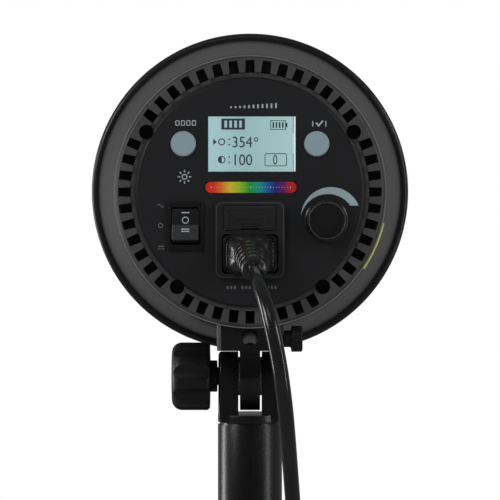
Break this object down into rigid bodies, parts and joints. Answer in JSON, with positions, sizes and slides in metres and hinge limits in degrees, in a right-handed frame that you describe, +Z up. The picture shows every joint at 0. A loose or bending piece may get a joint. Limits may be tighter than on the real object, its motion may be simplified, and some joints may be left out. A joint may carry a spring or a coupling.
{
  "type": "led monolight head",
  "caption": "Round LED studio light head with rear control panel, mains lead, tilt bracket with umbrella bore, clevis and stand socket adapter.",
  "frame": {"origin": "centre of the mouth of the stand socket, on the stand's axis", "axes": "+Z up along the stand, light shines toward +Y, control panel faces -Y, +X to the right seen from the panel"},
  "size_m": [0.145, 0.1782, 0.4125],
  "materials": {
    "shell_black": "satin, with bright reflections at grazing angles",
    "cover_black": "fine moulded texture",
    "screw_steel": "black oxide or plain",
    "bezel_black": "satin",
    "diffuser_white": "frosted",
    "reflector_white": "gloss white",
    "accent_yellow": "printed film",
    "bare_aluminium": "milled",
    "led_board": "white solder mask on aluminium",
    "led_chip": "phosphor",
    "fan_black": "moulded",
    "circuit_green": "solder mask",
    "panel_black": "satin printed sheet",
    "hue_print": "printed colour bar",
    "lcd_glass": "clear window over the display",
    "lcd_module": "display cell",
    "button_grey": "satin blue grey",
    "knob_black": "fine texture",
    "switch_black": "moulded",
    "rocker_black": "polished",
    "inlet_black": "moulded",
    "pin_brass": "nickel-plated brass",
    "fuse_glass": "glass tube with metal caps",
    "bracket_black": "fine black powder coat",
    "adapter_black": "satin black",
    "washer_white": "nylon",
    "cord_pvc": "smooth PVC",
    "tie_fabric": "hook and loop",
    "plug_nickel": "nickel plate"
  },
  "bodies": {
    "stand_adapter": {"stand_tube": "adapter_black", "stand_clevis": "adapter_black", "tilt_bolt": "screw_steel", "friction_washer_left": "washer_white", "friction_washer_right": "washer_white", "mains_cord": "cord_pvc", "cord_tail": "cord_pvc", "cord_coil": "cord_pvc", "cord_tie": "tie_fabric", "plug_body": "cord_pvc", "plug_pins": "plug_nickel"},
    "head": {"housing": "shell_black", "rear_cover": "cover_black", "cover_screw_1": "screw_steel", "cover_screw_2": "screw_steel", "cover_screw_3": "screw_steel", "cover_screw_4": "screw_steel", "front_bezel": "bezel_black", "diffuser": "diffuser_white", "reflector": "reflector_white", "accent_strip": "accent_yellow", "heat_sink": "bare_aluminium", "led_board": "led_board", "led_chips": "led_chip", "fan_frame": "fan_black", "power_board": "circuit_green", "control_panel": "panel_black", "hue_strip": "hue_print", "lcd_window": "lcd_glass", "lcd_module": "lcd_module", "control_board": "circuit_green", "dimmer_body": "fan_black", "switch_frame": "switch_black", "inlet_body": "inlet_black", "inlet_pin_line": "pin_brass", "inlet_pin_neutral": "pin_brass", "inlet_pin_earth": "pin_brass", "bracket": "bracket_black", "bracket_screw_1": "screw_steel", "bracket_screw_2": "screw_steel", "line_connector": "cord_pvc", "strain_relief": "cord_pvc"},
    "tilt_knob": {"tilt_hub": "knob_black", "tilt_knob": "knob_black"},
    "stand_lock": {"stand_screw": "screw_steel", "stand_knob": "knob_black"},
    "umbrella_lock": {"umbrella_screw": "screw_steel", "umbrella_wheel": "knob_black"},
    "mode_button": {"mode_button": "button_grey"},
    "set_button": {"set_button": "button_grey"},
    "power_rocker": {"power_rocker": "rocker_black"},
    "dimmer": {"dimmer_knob": "knob_black", "dimmer_shaft": "screw_steel"},
    "fan_rotor": {"fan_rotor": "fan_black"},
    "fuse_drawer": {"fuse_drawer": "inlet_black", "fuse": "fuse_glass"}
  },
  "joints": [
    {"name": "head_tilt", "type": "hinge", "parent": "stand_adapter", "child": "head", "pos_m": [0, 0, 0.085], "axis": [1, 0, 0], "range_deg": [-60, 60], "deforming": ["mains_cord"]},
    {"name": "tilt_knob_turn", "type": "hinge", "parent": "stand_adapter", "child": "tilt_knob", "pos_m": [0, 0, 0.085], "axis": [-1, 0, 0], "range_deg": [0, 270]},
    {"name": "stand_lock_turn", "type": "hinge", "parent": "stand_adapter", "child": "stand_lock", "pos_m": [0, 0, 0.014], "axis": [-1, 0, 0], "range_deg": [0, 270]},
    {"name": "umbrella_lock_turn", "type": "hinge", "parent": "head", "child": "umbrella_lock", "pos_m": [0, -0.029, 0.10297], "axis": [1, 0, 0], "range_deg": [0, 360]},
    {"name": "mode_button_press", "type": "slide", "parent": "head", "child": "mode_button", "axis": [0, 1, 0], "range_m": [0, 0.0008], "stiffness_N_per_m": 600, "springref_m": -0.0008},
    {"name": "set_button_press", "type": "slide", "parent": "head", "child": "set_button", "axis": [0, 1, 0], "range_m": [0, 0.0008], "stiffness_N_per_m": 600, "springref_m": -0.0008},
    {"name": "rocker_throw", "type": "hinge", "parent": "head", "child": "power_rocker", "pos_m": [-0.0276, -0.0372, 0.1517], "axis": [1, 0, 0], "range_deg": [0, 24]},
    {"name": "dimmer_turn", "type": "hinge", "parent": "head", "child": "dimmer", "pos_m": [0.0326, -0.038, 0.1541], "axis": [0, 1, 0], "range_deg": [0, 300]},
    {"name": "fan_spin", "type": "hinge", "parent": "head", "child": "fan_rotor", "pos_m": [0, 0.012, 0.1662], "axis": [0, 1, 0], "continuous": true},
    {"name": "fuse_drawer_slide", "type": "slide", "parent": "head", "child": "fuse_drawer", "axis": [0, -1, 0], "range_m": [0, 0.022]}
  ]
}
